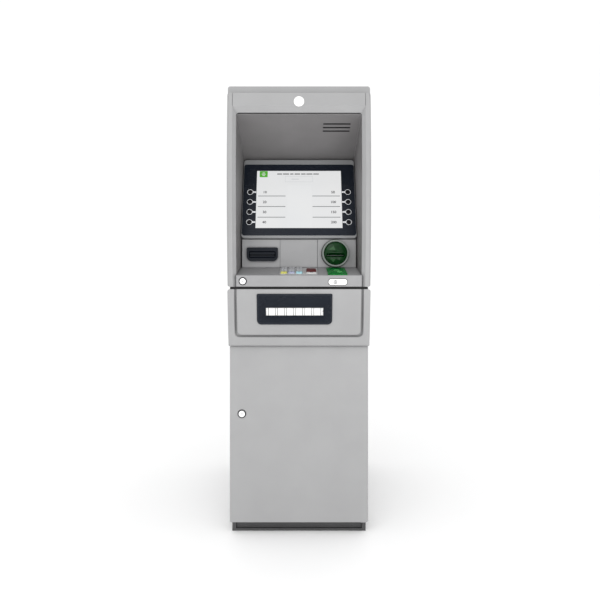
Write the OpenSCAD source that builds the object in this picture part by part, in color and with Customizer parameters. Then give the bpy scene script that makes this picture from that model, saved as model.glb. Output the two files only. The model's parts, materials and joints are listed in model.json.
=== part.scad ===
// Free-standing lobby cash machine, built as an assembly of separate pieces.
// Millimetres, +Z up. The user stands on the -Y side. The origin is the
// middle of the footprint on the floor.

/* [Cabinet] */
// Width across the fascias
overall_w = 464; // [462:0.5:468]
// Depth from the foremost point of the fascia to the rear panel
overall_d = 720; // [710:1:760]
// Height from the floor to the top of the top panel
overall_h = 1474; // [1472:1:1480]
// Thickness of the side, rear and top panels
sheet = 3; // [2:0.5:3.5]
// Height of the plinth under the cabinet
plinth_h = 34; // [32:1:38]
// Height of the upper fascia's top edge
fascia_top = 1446; // [1445:0.5:1447]

/* [Front sweep] */
// Radius of the single arc, seen from the side, that both fascias follow
sweep_r = 2850; // [2800:10:3000]
// Height of the foremost point of that arc
sweep_z = 1160; // [1150:5:1170]
// How far the arc's foremost point stands in front of the depth datum
sweep_lead = 8; // [8:0.5:9]

/* [Upper fascia] */
// Height of the upper fascia's bottom edge
upper_z = 820.5; // [820:0.5:821]
// Depth of both fascias behind the depth datum
fascia_back = 88; // [86:1:89]
// Width of the user recess between the cheeks
recess_w = 406.6; // [405:0.2:408]
// Height of the recess opening's top edge
recess_top = 1382.5; // [1380:0.5:1384]
// Fall of the recess ceiling towards the display
ceiling_fall = 21; // [20:0.5:21.5]
// Diameter of the lens roundel in the header
roundel_d = 34; // [30:1:38]

/* [Display] */
// Width of the visible screen, 15 inch with sides 4 to 3
screen_w = 304; // [300:1:306]
// Height of the visible screen
screen_h = 228; // [224:1:229]
// How far the display leans back from upright
display_lean = 19.4; // [19:0.1:20]
// Diameter of a function key beside the screen
function_key_d = 16; // [14:0.5:17]
// Distance from one function key to the next
function_key_pitch = 39.5; // [38:0.5:40]

/* [Keypad] */
// Height of the shelf's front edge
shelf_z = 857; // [856:0.5:858]
// Slope of the keypad shelf
shelf_slope = 11.7; // [11.5:0.1:12]
// Width of a digit key
key_w = 20; // [18:0.5:21]
// Depth of a digit key
key_d = 18; // [16:0.5:19]
// Distance between key rows
key_row_pitch = 24.5; // [24:0.5:25]

/* [Cash outlet] */
// Width of the cash shutter's visible face
shutter_w = 188.7; // [184:0.1:190]
// Height of the cash shutter's visible face
shutter_h = 25.8; // [24:0.1:26]
// How far the cash shutter rises
shutter_travel = 29; // [26:0.5:30]

/* [Door] */
// Height of the cabinet door's top edge
door_top = 622; // [621:0.5:622.5]
// Radius of the door's pivot pins
pivot_r = 4; // [3.5:0.1:4.5]

/* [Hidden] */
$fn = 48;
SWEEP_FN = 360;
HULL_FN = 32;

kick_set_back = 84;
plinth_set_back = 76;
plinth_base = 8;
half_w = overall_w / 2;
front_y = -overall_d / 2;
rear_y = overall_d / 2;
datum_y = front_y + sweep_lead;
sweep_y = front_y + sweep_r;
skin_x = half_w - 2;
cap_z = fascia_top + 2;
recess_x = recess_w / 2;
fascia_wall = 4;
chamfer_w = 11.2;
chamfer_depth = 10;
header_crease = 1403;
roundel_z = 1417;
fit_gap = 0.3;
run_gap = 0.06;
// How far an inner rounding runs past the faces that it blends
blend_gap = 0.1;

panel_depth = 140;
panel_z0 = 884.8;
panel_z1 = 982.6;
panel_seams = [-65.8, 64.4];
shelf_y = front(shelf_z);
shelf_back = panel_depth - 0.4;

display_depth = 145.4;
display_z = 1023.2;
frame_v0 = -38;
frame_v1 = 274;
bezel_w = 398;
bezel_v0 = -28;
bezel_v1 = 254;
function_key_x = 174.6;
function_key_v0 = 22;

reader_x = 126.1;
reader_z = 933.6;
reader_front = 115;
reader_r = 39.9;
receipt_x = -127.35;
receipt_z = 930.65;

key_columns = [-50, -24.5, 1];
wide_key_x = 41;
wide_key_w = 32;
first_row = 34;
key_travel = 2;
key_foot = 6;
key_proud = 6.3;
low_key_proud = 3.8;
tray_x = -1.5;
tray_w = 127;
tray_s0 = 18;
tray_s1 = 124;

lower_z0 = 624;
lower_z1 = 812.5;
outlet_x = -14.4;
outlet_z = 734.6;
outlet_depth = 22;
surround_size = [244.6, 101];
surround_rise = 12.6;

fascia_lock_x = -181.7;
fascia_lock_z = 838.5;
fascia_lock_r = 9.4;
audio_x = 125.5;
audio_z = 836;
jack_x = 117.8;

door_y = datum_y + 60;
door_pan = 22;
door_z0 = plinth_h + 2;
hinge_x = 222;
hinge_y = door_y + 11;
cabinet_lock_x = -190;
cabinet_lock_z = 397;
cabinet_lock_r = 10.4;
skin_y0 = datum_y + fascia_back + 2;

safe_x = 215;
safe_y0 = -235;
safe_y1 = 330;
safe_z1 = 640;
safe_wall = 12;
safe_door_x = 183;
safe_door_z = [72, 608];
safe_door_t = 25;
handle_at = [60, 380];
handle_shaft_r = 8;
dial_at = [-60, 430];
dial_shaft_r = 5;
anchor_x = 160;
anchor_y = [-150, 230];
anchor_r = 9;

rail_z = [1098, 1148];
rail_y = [skin_y0 + 7, 165];
rail_x = [211, 223];

fascia_grey = [0.73, 0.73, 0.73];
recess_grey = [0.50, 0.50, 0.51];
panel_grey = [0.62, 0.62, 0.63];
plinth_grey = [0.28, 0.28, 0.29];
navy_black = [0.10, 0.12, 0.16];
steel_grey = [0.55, 0.56, 0.58];
safe_grey = [0.45, 0.47, 0.50];
paper_white = [0.93, 0.93, 0.92];

// ---- places ----

// Y of a plane that lies so far behind the depth datum
function at_depth(depth) = datum_y + depth;

// Y of the fascias' swept front at one height
function front(z) = sweep_y - sqrt(pow(sweep_r, 2) - pow(z - sweep_z, 2));

// How far the swept front leans forward at one height
function lean(z) = asin((sweep_z - z) / sweep_r);

// Height of the recess ceiling at one depth
function ceiling_z(depth) = recess_top - (depth - 4) * tan(ceiling_fall);

// Distance of a key row up the slope of the shelf
function row_s(row) = first_row + row * key_row_pitch;

// Local frame on the swept front: X across, Z up the surface, Y into it
module on_front(x, z) {
    translate([x, front(z), z])
        rotate([lean(z), 0, 0])
            children();
}

// Local frame on the display plane, v up from the screen's bottom edge
module on_display(x, v) {
    translate([x, at_depth(display_depth), display_z])
        rotate([-display_lean, 0, 0])
            translate([0, 0, v])
                children();
}

// Local frame on the shelf, s up the slope from its front edge, Z out of it
module on_shelf(x, s) {
    translate([x, shelf_y, shelf_z])
        rotate([shelf_slope, 0, 0])
            translate([0, s, 0])
                children();
}

// ---- shapes used by several pieces ----

module block(low, high) {
    translate(low) cube(high - low);
}

module both_sides() {
    children();
    mirror([1, 0, 0]) children();
}

module rounded_rect(size, r_top, r_bottom) {
    w = size.x;
    h = size.y;
    r = max(r_top, r_bottom);
    translate([-w / 2 + r, -h / 2]) square([w - 2 * r, h]);
    translate([-w / 2, -h / 2 + r_bottom]) square([w, h - r_top - r_bottom]);
    translate([-w / 2 + r_top, 0]) square([w - 2 * r_top, h / 2]);
    translate([-w / 2 + r_bottom, -h / 2]) square([w - 2 * r_bottom, h / 2]);
    for (side = [-1, 1]) {
        translate([side * (w / 2 - r_top), h / 2 - r_top]) circle(r_top);
        translate([side * (w / 2 - r_bottom), -h / 2 + r_bottom]) circle(r_bottom);
    }
}

// Upright plate, centred, its front face on Y = 0 and its thickness behind it
module plate(size, thickness, r_top, r_bottom) {
    translate([0, thickness, 0])
        rotate([90, 0, 0])
            linear_extrude(thickness)
                rounded_rect(size, r_top, r_bottom);
}

// Cylinder into the surface, from one depth to another
module barrel(r, from, to) {
    translate([0, from, 0])
        rotate([-90, 0, 0])
            cylinder(h = to - from, r = r);
}

// A profile in Y and Z, drawn out across the machine
module across(width) {
    translate([-width / 2, 0, 0])
        rotate([90, 0, 90])
            linear_extrude(width)
                children();
}

// Everything behind the swept front, set back by an inset
module behind_sweep(inset) {
    translate([-overall_w, sweep_y, sweep_z])
        rotate([0, 90, 0])
            cylinder(h = 2 * overall_w, r = sweep_r - inset, $fn = SWEEP_FN);
}

// Front outline of a fascia, as a prism as deep as the fascia
module fascia_outline(w, z0, z1, r_top, r_bottom) {
    depth = at_depth(fascia_back) - front_y + 1;
    translate([0, front_y - 1, (z0 + z1) / 2])
        plate([w, z1 - z0], depth, r_top, r_bottom);
}

// Web that rounds off a square inner corner, its corner point at x and z
module corner_web(x, z, r, from, to) {
    difference() {
        block([x - r, from, z - r], [x + 1, to, z + 1]);
        translate([x - r + blend_gap, 0, z - r + blend_gap]) barrel(r, from - 1, to + 1);
    }
}

// Points of a quarter circle in a profile
function quarter(centre, r, start) = [
    for (a = [start:15:start + 90]) centre + r * [cos(a), sin(a)]
];

// ---- cabinet ----

module plinth() {
    rail_w = 13;
    cross_w = 12;
    x = half_w - 8;
    y0 = at_depth(plinth_set_back);
    y1 = rear_y - 10;
    color(plinth_grey)
        difference() {
            union() {
                block([-x, y0, 0], [x, y1, plinth_base]);
                both_sides() block([x - rail_w, y0, 0], [x, y1, plinth_h]);
                for (y = [y0 + 14, 0, y1 - cross_w])
                    block([-x, y, 0], [x, y + cross_w, plinth_h]);
            }
            for (sx = [-1, 1], y = anchor_y)
                translate([sx * anchor_x, y, -1]) cylinder(h = plinth_h + 2, r = anchor_r);
        }
}

module kick_panel() {
    x = 210.5;
    thickness = 4;
    groove_z = 14;
    groove_h = 2;
    y0 = at_depth(kick_set_back);
    color(plinth_grey)
        difference() {
            block([-x, y0, plinth_base], [x, y0 + thickness, plinth_h - 0.5]);
            block([-x + 1.5, y0 - 1, groove_z], [x - 1.5, y0 + 1, groove_z + groove_h]);
        }
}

module side_panels() {
    flange_x = 207;
    flange_t = 2.5;
    color(fascia_grey)
        both_sides()
            union() {
                block([skin_x - sheet, skin_y0, plinth_h], [skin_x, rear_y - sheet, cap_z]);
                block([safe_x + 0.5, skin_y0, plinth_h], [skin_x, rear_y - sheet, plinth_h + sheet]);
                block([flange_x, skin_y0, plinth_h], [skin_x, skin_y0 + flange_t, door_top - 2]);
            }
}

module rear_panel() {
    cable_entry = [150, 120];
    cable_r = 16;
    louvre = [150, 6];
    louvre_pitch = 16;
    louvres = 7;
    color(fascia_grey)
        difference() {
            block([-skin_x, rear_y - sheet, plinth_h], [skin_x, rear_y, cap_z]);
            for (z0 = [1270, 700], n = [0:louvres - 1])
                translate([0, rear_y - sheet - 1, z0 + n * louvre_pitch])
                    plate(louvre, sheet + 2, 2.9, 2.9);
            translate([cable_entry.x, rear_y - sheet, cable_entry.y])
                barrel(cable_r, -1, sheet + 1);
        }
}

module top_panel() {
    set_back = 27;
    h = overall_h - cap_z;
    y0 = at_depth(set_back);
    color(fascia_grey)
        difference() {
            translate([0, y0, overall_h - h / 2])
                plate([overall_w, h], rear_y - y0, 8, 0.5);
            block([-half_w + sheet, y0 + sheet, cap_z - 1],
                  [half_w - sheet, rear_y - sheet, overall_h - sheet]);
        }
}

module computer_core() {
    low = [-150, 60, safe_z1];
    high = [150, 320, 1040];
    slit = [220, 6];
    slit_pitch = 16;
    slit_z = 700;
    color(steel_grey)
        difference() {
            block(low, high);
            for (n = [0:7])
                translate([0, low.y - 1, slit_z + n * slit_pitch])
                    block([-slit.x / 2, 0, 0], [slit.x / 2, 2, slit.y]);
        }
}

module safe_body() {
    inner_x = safe_x - safe_wall;
    note_hole = [[-106, -176], [78, -104]];
    color(safe_grey)
        difference() {
            block([-safe_x, safe_y0, plinth_h], [safe_x, safe_y1, safe_z1]);
            block([-inner_x, safe_y0 + safe_wall, plinth_h + safe_wall],
                  [inner_x, safe_y1 - safe_wall, safe_z1 - safe_wall]);
            block([-safe_door_x - 0.5, safe_y0 - 1, safe_door_z[0] - 0.5],
                  [safe_door_x + 0.5, safe_y0 + safe_wall + 1, safe_door_z[1] + 0.5]);
            // hole in the roof that the notes rise through
            block([note_hole[0].x, note_hole[0].y, safe_z1 - safe_wall - 1],
                  [note_hole[1].x, note_hole[1].y, safe_z1 + 1]);
            for (sx = [-1, 1], y = anchor_y)
                translate([sx * anchor_x, y, plinth_h - 1]) cylinder(h = safe_wall + 2, r = anchor_r);
        }
}

module safe_door() {
    color(safe_grey)
        difference() {
            block([-safe_door_x, safe_y0, safe_door_z[0]],
                  [safe_door_x, safe_y0 + safe_door_t, safe_door_z[1]]);
            translate([handle_at.x, safe_y0, handle_at.y])
                barrel(handle_shaft_r + run_gap, -1, safe_door_t + 1);
            translate([dial_at.x, safe_y0, dial_at.y])
                barrel(dial_shaft_r + run_gap, -1, safe_door_t + 1);
        }
}

module safe_handle() {
    hub_r = 20;
    spoke_r = 6;
    spoke_l = 72;
    color(steel_grey)
        translate([handle_at.x, safe_y0, handle_at.y])
            union() {
                barrel(handle_shaft_r, -20, safe_door_t + 3);
                barrel(hub_r, -28, -2);
                for (spoke = [0:2])
                    rotate([0, 90 + spoke * 120, 0])
                        translate([0, -16, 0]) cylinder(h = spoke_l, r = spoke_r);
            }
}

module combination_dial() {
    ring_r = 30;
    knob_r = 17;
    ticks = 20;
    color(navy_black)
        translate([dial_at.x, safe_y0, dial_at.y])
            difference() {
                union() {
                    barrel(dial_shaft_r, -8, safe_door_t + 3);
                    barrel(ring_r, -10, -2);
                    barrel(knob_r, -24, -9);
                }
                for (n = [0:ticks - 1])
                    rotate([0, n * 360 / ticks, 0])
                        block([-0.5, -11, ring_r - 6], [0.5, -9, ring_r - 1]);
            }
}

module safe_bolts() {
    bolt_r = 9;
    bolt_l = 56;
    bolt_x = -200;
    bolt_z = [170, 340, 510];
    bar_x = -150;
    bar_y = safe_y0 + safe_door_t + 6;
    color(steel_grey)
        union() {
            block([bar_x, bar_y, bolt_z[0] - 20], [bar_x + 12, bar_y + 14, bolt_z[2] + 20]);
            for (z = bolt_z)
                translate([bolt_x, bar_y + 7, z]) rotate([0, 90, 0]) cylinder(h = bolt_l, r = bolt_r);
        }
}

module cash_cassettes() {
    size = [260, 400, 92];
    pitch = 100;
    grip = [80, 25, 22];
    color([0.25, 0.27, 0.30])
        for (n = [0:3])
            translate([-size.x / 2, -170, safe_door_z[0] - 10 + n * pitch])
                difference() {
                    cube(size);
                    translate([(size.x - grip.x) / 2, -1, 40]) cube(grip);
                }
}

module note_dispenser() {
    mouth_y = at_depth(60);
    throat_x = 94;
    throat_z = [722, 756];
    color(steel_grey)
        difference() {
            union() {
                // presenter, transport over the safe, riser and picker
                block([outlet_x - 105, mouth_y, 712], [outlet_x + 105, -229, 768]);
                block([outlet_x - 120, -230, 652], [outlet_x + 120, -60, 790]);
                block([outlet_x - 88, -172, 560], [outlet_x + 88, -108, 700]);
                block([-125, -180, 468], [125, 120, 600]);
            }
            block([outlet_x - throat_x, mouth_y - 1, throat_z[0]],
                  [outlet_x + throat_x, -240, throat_z[1]]);
        }
}

module slide_rails_fixed() {
    back = 3;
    color(steel_grey)
        both_sides()
            difference() {
                block([rail_x[0] - 2, rail_y[0], rail_z[0]], [skin_x - sheet, rail_y[1], rail_z[1]]);
                block([rail_x[0] - 3, rail_y[0] - 1, rail_z[0] + back],
                      [rail_x[1] + 0.6, rail_y[1] + 1, rail_z[1] - back]);
            }
}

// ---- lower fascia and cash outlet ----

// Tapered outer edge of the valley round the raised panel, mouth first
module valley_mouth(raised_w, raised_h) {
    depth = 7;
    ahead = 12;
    mouth = [raised_w + 36, raised_h + 30];
    floor_line = [raised_w + 9, raised_h + 8];
    hull() {
        translate([0, -ahead, 0]) plate(mouth, 1, 20, 20, $fn = HULL_FN);
        translate([0, depth, 0]) plate(floor_line, 0.5, 12, 12, $fn = HULL_FN);
    }
}

// The raised panel runs up past the fascia's top edge, so the valley is U-shaped
module valley() {
    raised_w = recess_w - 3;
    raised_h = 300;
    raised_mid_z = 812;
    tangent_z = 721;
    difference() {
        on_front(0, tangent_z)
            translate([0, 0, raised_mid_z - tangent_z - 1])
                valley_mouth(raised_w, raised_h);
        on_front(0, tangent_z)
            translate([0, -20, raised_mid_z - tangent_z])
                plate([raised_w, raised_h], 40, 14, 14);
    }
}

module lower_fascia() {
    hinge_notch = [[203, door_y, lower_z0 - 1], [skin_x - 1.5, at_depth(fascia_back) + 1, lower_z0 + 8]];
    color(fascia_grey)
        difference() {
            intersection() {
                fascia_outline(overall_w, lower_z0, lower_z1, 8, 3);
                behind_sweep(0);
            }
            intersection() {
                block([-half_w + fascia_wall, front_y, lower_z0 + fascia_wall],
                      [half_w - fascia_wall, at_depth(fascia_back) + 1, lower_z1 - fascia_wall]);
                behind_sweep(10);
            }
            valley();
            on_front(outlet_x, outlet_z)
                translate([0, -10, surround_rise])
                    plate(surround_size + [0.8, 0.8], 40, 4.4, 14.4);
            // slot in the top wall for the fascia lock's cam
            block([fascia_lock_x - 8, front(lower_z1) + 11, lower_z1 - 10],
                  [fascia_lock_x + 32, front(lower_z1) + 22, lower_z1 + 1]);
            block(hinge_notch[0], hinge_notch[1]);
            // bevel under the bottom edge
            translate([0, front(lower_z0), lower_z0])
                rotate([45, 0, 0])
                    cube([2 * overall_w, 7, 7], center = true);
        }
}

module dispenser_surround() {
    guide_x = shutter_w / 2 + 3;
    color(navy_black)
        on_front(outlet_x, outlet_z)
            union() {
                difference() {
                    translate([0, -2, surround_rise]) plate(surround_size, outlet_depth + 2, 4, 14);
                    hull() {
                        translate([0, -3, surround_rise])
                            plate(surround_size - [10.6, 10], 1, 3, 10, $fn = HULL_FN);
                        translate([0, 18, 0]) plate([shutter_w, shutter_h], 1, 1, 1, $fn = HULL_FN);
                    }
                    translate([0, 17, 0]) plate([shutter_w, shutter_h], 6, 1, 1);
                }
                both_sides()
                    block([guide_x + 0.4, outlet_depth, -shutter_h / 2 - 4],
                          [guide_x + 6, outlet_depth + 7, shutter_h / 2 + 4 + shutter_travel]);
            }
}

module cash_shutter() {
    cells = 6;
    cell_w = 21.5;
    line_w = 1.5;
    pitch = shutter_w / (cells + 0.31);
    color(paper_white)
        on_front(outlet_x, outlet_z)
            difference() {
                translate([0, outlet_depth + 0.6, 0])
                    plate([shutter_w + 6, shutter_h + 6], 5, 1.5, 1.5);
                for (cell = [0:cells - 1], side = [-1, 1])
                    translate([(cell - (cells - 1) / 2) * pitch + side * (cell_w + line_w) / 2, 0, 0])
                        block([-line_w / 2, 0, -shutter_h], [line_w / 2, outlet_depth + 1.6, shutter_h]);
            }
}

// ---- cabinet door ----

module door_hinges() {
    color(steel_grey) {
        union() {
            block([205, hinge_y - 8, plinth_h], [half_w - 8, skin_y0, plinth_h + 1.5]);
            translate([hinge_x, hinge_y, plinth_h]) cylinder(h = 12, r = pivot_r);
        }
        union() {
            block([205, hinge_y - 8, door_top + 0.6], [skin_x - sheet, skin_y0 + 12, door_top + 3.6]);
            translate([hinge_x, hinge_y, door_top - 8]) cylinder(h = 9, r = pivot_r);
        }
    }
}

module cabinet_door() {
    w = 2 * skin_x;
    h = door_top - door_z0;
    mid_z = (door_top + door_z0) / 2;
    wall = 2;
    color(fascia_grey)
        difference() {
            translate([0, door_y, mid_z]) plate([w, h], door_pan, 3, 5);
            translate([0, door_y + wall, mid_z])
                plate([w - 2 * wall, h - 2 * wall], door_pan, 1, 3);
            translate([cabinet_lock_x, door_y, cabinet_lock_z])
                barrel(cabinet_lock_r + run_gap, -1, wall + 1);
            translate([hinge_x, hinge_y, door_z0 - 1])
                cylinder(h = h + 2, r = pivot_r + run_gap);
        }
}

// Lock plug with a key slot in its face, drawn on the origin
module lock_plug(r, length) {
    difference() {
        barrel(r, -2.5, length);
        block([-4.5, -3, -0.9], [4.5, 1, 0.9]);
    }
}

module cabinet_lock() {
    cam_from = skin_y0 + 5 - door_y;
    color(paper_white)
        translate([cabinet_lock_x, door_y, cabinet_lock_z])
            union() {
                lock_plug(cabinet_lock_r, cam_from + 1);
                block([-6, cam_from, -6], [6, cam_from + 4, 30]);
            }
}

// ---- upper fascia unit ----

// Section of a cheek, radius from the sweep's centre against distance across
module cheek_section() {
    r = sweep_r;
    edge = 8;
    lip = recess_x + chamfer_w;
    polygon(concat(
        [[r, lip]],
        quarter([r - edge, half_w - edge], edge, 0),
        [
            [r - 120, half_w],
            [r - 120, half_w - fascia_wall],
            [r - edge, half_w - fascia_wall],
            [r - 5, half_w - edge],
            [r - 5, lip + 2.4],
            [r - chamfer_depth - 4, recess_x + 3.6],
            [r - chamfer_depth - 4, recess_x],
            [r - chamfer_depth, recess_x]
        ]
    ));
}

module cheek() {
    turn = 16;
    translate([0, sweep_y, sweep_z])
        rotate([0, 90, 0])
            rotate([0, 0, 270 - turn / 2])
                rotate_extrude(angle = turn, $fn = SWEEP_FN)
                    cheek_section();
}

module header() {
    back = chamfer_depth + fascia_wall;
    across(2 * (recess_x + chamfer_w) + 1)
        polygon([
            [front(fascia_top + 1), fascia_top + 1],
            [front(header_crease), header_crease],
            [front(recess_top) + chamfer_depth, recess_top],
            [front(recess_top) + back, recess_top],
            [front(recess_top) + back, recess_top + 3],
            [front(header_crease) + 5, header_crease + 2],
            [front(fascia_top + 1) + 5, fascia_top + 1]
        ]);
    block([-half_w + 2, front(fascia_top) + 1, fascia_top - fascia_wall],
          [half_w - 2, at_depth(fascia_back) + 1, fascia_top + 1]);
}

module upper_fascia() {
    seam_x = recess_x + chamfer_w;
    opening_y = front(recess_top) + chamfer_depth;
    color(fascia_grey)
        difference() {
            intersection() {
                fascia_outline(overall_w + blend_gap, upper_z, fascia_top, 9, 8);
                union() {
                    both_sides() cheek();
                    header();
                    both_sides()
                        corner_web(recess_x, recess_top, 8, opening_y - 0.5, opening_y + 3);
                }
            }
            // seams between the header and the cheeks
            both_sides()
                block([seam_x - 0.6, front_y - 1, header_crease],
                      [seam_x + 0.6, front(fascia_top) + 1.2, fascia_top + 1]);
            on_front(0, roundel_z) barrel(roundel_d / 2 + fit_gap, -2, 8);
        }
}

module roundel() {
    color(paper_white)
        on_front(0, roundel_z)
            union() {
                barrel(roundel_d / 2, -1, 6);
                barrel(roundel_d / 2 - 4, -2, 0);
            }
}

module recess_liner() {
    wall = 3;
    back_d = 258;
    fillet = 6;
    slot_size = [92, 7];
    slot_x = recess_x - 77;
    slot_depths = [60.5, 78.5, 96];
    lean_run = (panel_z1 + 6 - display_z) * tan(display_lean);
    color(recess_grey)
        difference() {
            intersection() {
                union() {
                    both_sides()
                        translate([recess_x + wall / 2, 0, 0])
                            across(wall)
                                polygon([
                                    [at_depth(0), shelf_z - 10],
                                    [at_depth(0), ceiling_z(0) + wall],
                                    [at_depth(back_d), ceiling_z(back_d) + wall],
                                    [at_depth(back_d), ceiling_z(back_d) - 14],
                                    [at_depth(display_depth + lean_run + 16), panel_z1 + 6],
                                    [at_depth(panel_depth + 8), shelf_z - 10]
                                ]);
                    across(recess_w + 2 * wall)
                        polygon([
                            [at_depth(0), ceiling_z(0)],
                            [at_depth(0), ceiling_z(0) + wall],
                            [at_depth(back_d), ceiling_z(back_d) + wall],
                            [at_depth(back_d), ceiling_z(back_d)]
                        ]);
                    block([-recess_x - wall, at_depth(back_d) - 0.5, ceiling_z(back_d) - 14],
                          [recess_x + wall, at_depth(back_d) + 2.5, ceiling_z(back_d) + wall]);
                    both_sides() ceiling_fillet(fillet, back_d);
                }
                behind_sweep(chamfer_depth + fascia_wall + 0.2);
            }
            // speaker slots in the ceiling
            for (depth = slot_depths)
                translate([slot_x, at_depth(depth), ceiling_z(depth) - 10])
                    linear_extrude(20)
                        rounded_rect(slot_size, 2.9, 2.9);
        }
}

// Concave rounding between the ceiling and a side wall
module ceiling_fillet(r, back_d) {
    length = back_d / cos(ceiling_fall);
    translate([recess_x - r, at_depth(0), ceiling_z(0)])
        rotate([-ceiling_fall, 0, 0])
            translate([0, 0, -r])
                difference() {
                    cube([r + 0.5, length, r + 0.5]);
                    translate([blend_gap, -1, blend_gap])
                        rotate([-90, 0, 0])
                            cylinder(h = length + 2, r = r);
                }
}

module display_frame() {
    mid_v = (frame_v0 + frame_v1) / 2;
    bezel_mid = (bezel_v0 + bezel_v1) / 2;
    bezel_h = bezel_v1 - bezel_v0;
    color(panel_grey)
        on_display(0, 0)
            difference() {
                translate([0, 0, mid_v]) plate([401.4, frame_v1 - frame_v0], 18, 12, 12);
                translate([0, -1, bezel_mid]) plate([bezel_w + 0.6, bezel_h + 0.6], 7.2, 9.3, 9.3);
                translate([0, -1, bezel_mid]) plate([376, bezel_h - 20], 30, 5, 5);
            }
}

module display_bezel() {
    bezel_mid = (bezel_v0 + bezel_v1) / 2;
    color(navy_black)
        on_display(0, 0)
            difference() {
                translate([0, -1, bezel_mid]) plate([bezel_w, bezel_v1 - bezel_v0], 7, 9, 9);
                block([-screen_w / 2 - fit_gap, -2, -fit_gap],
                      [screen_w / 2 + fit_gap, 8, screen_h + fit_gap]);
                for (side = [-1, 1], n = [0:3])
                    translate([side * function_key_x, 0, function_key_v0 + n * function_key_pitch])
                        barrel(function_key_d / 2 + 0.4, -2, 8);
            }
}

module display_screen() {
    color(paper_white)
        on_display(0, 0)
            union() {
                block([-screen_w / 2, 0, 0], [screen_w / 2, 8, screen_h]);
                block([-screen_w / 2 - 8, 6.4, -8], [screen_w / 2 + 8, 22, screen_h + 8]);
            }
}

// Keys of one side count up from the bottom
module function_key(side, n) {
    color(navy_black)
        on_display(side * function_key_x, function_key_v0 + (n - 1) * function_key_pitch)
            union() {
                barrel(function_key_d / 2, -3.5, 8);
                barrel(function_key_d / 2 - 2, -4, -3);
            }
}

module module_panels() {
    edges = [-198.5, panel_seams[0], panel_seams[1], 198.5];
    seam = 0.5;
    thickness = 4;
    y0 = at_depth(panel_depth);
    color(panel_grey)
        difference() {
            for (n = [0:2])
                block([edges[n] + seam, y0, panel_z0], [edges[n + 1] - seam, y0 + thickness, panel_z1]);
            translate([receipt_x, y0 - 1, receipt_z]) plate([98, 38], thickness + 2, 4, 8);
            translate([reader_x, y0, reader_z]) barrel(42, -1, thickness + 1);
        }
}

module keypad_shelf() {
    wall = 4;
    slope = tan(shelf_slope);
    run = at_depth(shelf_back) - shelf_y;
    z0 = upper_z + 0.4;
    body_w = tray_w - 10;
    body_s = tray_s1 - tray_s0 - 10;
    color(panel_grey)
        difference() {
            across(recess_w - 0.6)
                polygon([
                    [front(z0), z0],
                    [shelf_y, shelf_z],
                    [shelf_y + run, shelf_z + run * slope],
                    [shelf_y + run, shelf_z + run * slope - 14],
                    [shelf_y + run - wall, shelf_z + run * slope - 14],
                    [shelf_y + run - wall, shelf_z + (run - wall) * slope - wall],
                    [shelf_y + wall, shelf_z - wall],
                    [front(z0) + wall, z0]
                ]);
            on_shelf(tray_x, (tray_s0 + tray_s1) / 2)
                translate([0, 0, -10])
                    cube([body_w + 0.6, body_s + 0.6, 40], center = true);
            on_front(fascia_lock_x, fascia_lock_z) barrel(fascia_lock_r + run_gap, -3, 8);
            on_front(jack_x, audio_z) barrel(5.4, -3, 8);
        }
}

module keypad_tray() {
    mid_s = (tray_s0 + tray_s1) / 2;
    length = tray_s1 - tray_s0;
    body = [tray_w - 10, length - 10, 22];
    gap = 0.4;
    color([0.80, 0.80, 0.79])
        difference() {
            union() {
                on_shelf(tray_x, mid_s)
                    translate([0, 0, 0.05])
                        linear_extrude(1.5)
                            rounded_rect([tray_w, length], 4, 4);
                on_shelf(tray_x, mid_s)
                    translate([0, 0, 1 - body.z / 2])
                        cube(body, center = true);
            }
            for (x = key_columns, row = [0:3])
                on_shelf(x, row_s(row)) key_pocket(key_w + 2 * gap, key_d + 2 * gap);
            on_shelf(wide_key_x, row_s(0)) key_pocket(wide_key_w + 2 * gap, key_d + 2 * gap);
            on_shelf(wide_key_x, row_s(1.5))
                key_pocket(wide_key_w + 2 * gap, key_d + key_row_pitch + 2 * gap);
        }
}

module key_pocket(w, d) {
    floor_z = -key_foot - key_travel - 2;
    block([-w / 2, -d / 2, floor_z], [w / 2, d / 2, 5]);
}

// Key cap with a stepped top, standing in its pocket
module key_cap(w, d, proud) {
    step_in = 1.5;
    step_h = 0.8;
    block([-w / 2, -d / 2, -key_foot], [w / 2, d / 2, proud - step_h]);
    block([-w / 2 + step_in, -d / 2 + step_in, proud - step_h - 0.5],
          [w / 2 - step_in, d / 2 - step_in, proud]);
}

// Digits count from the back left, three to a row
module digit_key(digit) {
    column = (digit - 1) % 3;
    row = 3 - floor((digit - 1) / 3);
    color([0.62, 0.63, 0.65])
        on_shelf(key_columns[column], row_s(row)) key_cap(key_w, key_d, key_proud);
}

module front_row_key(column, tint) {
    color(tint)
        on_shelf(key_columns[column], row_s(0)) key_cap(key_w, key_d, key_proud);
}

// Flat key in the front row, so that the long key behind it stays in sight
module enter_key() {
    color([0.80, 0.80, 0.79])
        on_shelf(wide_key_x, row_s(0)) key_cap(wide_key_w, key_d, low_key_proud);
}

// Key two rows long
module cancel_key() {
    color([0.42, 0.08, 0.10])
        on_shelf(wide_key_x, row_s(1.5)) key_cap(wide_key_w, key_d + key_row_pitch, key_proud);
}

module card_reader_ring() {
    depth = panel_depth - reader_front;
    outer = 46.6;
    inner = reader_r + fit_gap;
    spigot_r = outer - 5;
    edge = 3;
    color([0.70, 0.71, 0.72])
        translate([reader_x, at_depth(reader_front), reader_z])
            rotate([-90, 0, 0])
                rotate_extrude()
                    polygon(concat(
                        [[inner, depth + 6], [inner, 2], [inner + 1.5, 0]],
                        [for (a = [90:-15:0]) [outer - edge + edge * cos(a), edge - edge * sin(a)]],
                        [[outer, depth], [spigot_r, depth], [spigot_r, depth + 6]]
                    ));
}

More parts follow.
